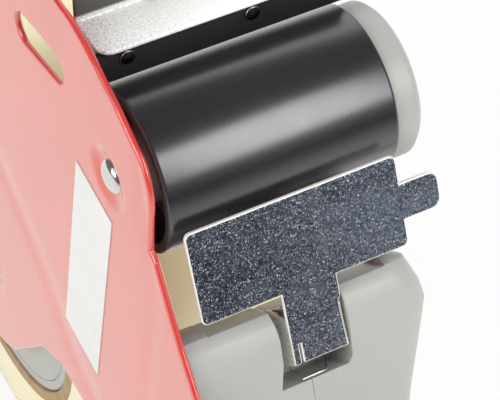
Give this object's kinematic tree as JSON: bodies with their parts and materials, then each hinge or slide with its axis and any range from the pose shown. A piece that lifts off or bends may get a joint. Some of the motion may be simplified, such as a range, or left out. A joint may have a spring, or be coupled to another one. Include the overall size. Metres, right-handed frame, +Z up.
{
  "type": "packing tape dispenser",
  "caption": "Hand-held packing tape dispenser with a red side plate, rubber roller, sprung tape gate, toothed blade, braked tape reel and grey pistol grip.",
  "frame": {"origin": "under the middle of the dispenser, on the surface where it stands on its butt plate and tape roll", "axes": "X along the roller axle, side plate at -X; -Y is the front; Z up"},
  "size_m": [0.0612, 0.2516, 0.1722],
  "materials": {
    "red_paint": "gloss red paint on sheet steel",
    "label_white": "blank white sticker",
    "rivet_chrome": "bright plated rivet",
    "zinc": "zinc plated steel",
    "grey_plastic": "light warm grey moulded plastic",
    "black_rubber": "satin black rubber",
    "bright_zinc": "bright zinc plated sheet",
    "blade_steel": "toothed steel strip",
    "black_plastic": "black plastic",
    "dark_plastic": "dark grey plastic",
    "gate_zinc": "spangled zinc plated sheet",
    "spring_steel": "spring wire",
    "felt": "brown friction felt",
    "card": "brown cardboard, held as a matte solid",
    "tan_tape": "wound tan packing tape"
  },
  "bodies": {
    "frame": {"side_plate": "red_paint", "plate_label": "label_white", "roller_axle": "rivet_chrome", "axle_washer": "zinc", "axle_clip": "zinc", "blade_bracket": "bright_zinc", "cutting_blade": "blade_steel", "blade_screws": "zinc", "wiper_strip": "black_plastic", "wiper_rivets": "zinc", "grip_left_shell": "grey_plastic", "grip_right_shell": "grey_plastic", "grip_screws": "zinc", "plate_rivets": "rivet_chrome", "butt_plate": "dark_plastic", "gate_pin": "zinc", "gate_spring": "spring_steel", "hub_stud": "zinc", "friction_washer": "felt", "pressure_washer": "zinc", "brake_spring": "spring_steel"},
    "roller": {"roller_core": "grey_plastic", "roller_sleeve": "black_rubber"},
    "gate": {"tape_gate": "gate_zinc"},
    "reel": {"tape_hub": "grey_plastic", "hub_web": "grey_plastic", "hub_ribs": "grey_plastic", "tape_core": "card", "tape_roll": "tan_tape"},
    "knob": {"tension_knob": "black_plastic"}
  },
  "joints": [
    {"name": "roller_spin", "type": "hinge", "parent": "frame", "child": "roller", "pos_m": [-0.00195, -0.00425, 0.14], "axis": [1, 0, 0], "continuous": true},
    {"name": "reel_spin", "type": "hinge", "parent": "frame", "child": "reel", "pos_m": [-0.00195, 0.07075, 0.055], "axis": [1, 0, 0], "continuous": true},
    {"name": "gate_pivot", "type": "hinge", "parent": "frame", "child": "gate", "pos_m": [-0.00285, -0.02477, 0.11077], "axis": [1, 0, 0], "range_deg": [0, 24], "stiffness_Nm_per_rad": 0.03, "springref_deg": -17.19},
    {"name": "knob_turn", "type": "hinge", "parent": "frame", "child": "knob", "pos_m": [0.02205, 0.07075, 0.055], "axis": [1, 0, 0], "range_deg": [-180, 180]}
  ]
}
